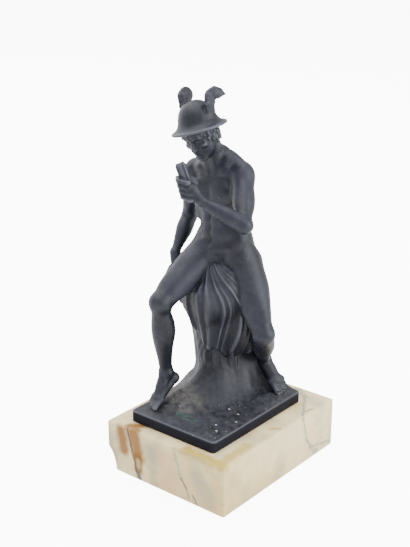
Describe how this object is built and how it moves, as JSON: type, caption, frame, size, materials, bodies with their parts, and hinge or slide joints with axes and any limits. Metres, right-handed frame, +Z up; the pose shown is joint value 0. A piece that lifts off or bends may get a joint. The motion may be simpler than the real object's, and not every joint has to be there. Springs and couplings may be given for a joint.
{
  "type": "bronze table statuette on a stone plinth",
  "caption": "Seated winged-hat youth in dark bronze on a draped stump, cast with rock and ground plate, set on a plain cream marble block.",
  "frame": {"origin": "middle of the plinth's underside, on the surface it stands on", "axes": "+Z up; the youth's chest faces -Y and his left hand side is +X"},
  "size_m": [0.094, 0.116, 0.2404],
  "materials": {
    "bronze": "dark blue-black patina, soft sheen, rubbed paler on the raised forms, dusty on the rock",
    "marble": "honed cream marble with rust stains and grey veins"
  },
  "bodies": {
    "root": {"bronze_mercury": "bronze", "marble_plinth": "marble"}
  },
  "joints": []
}
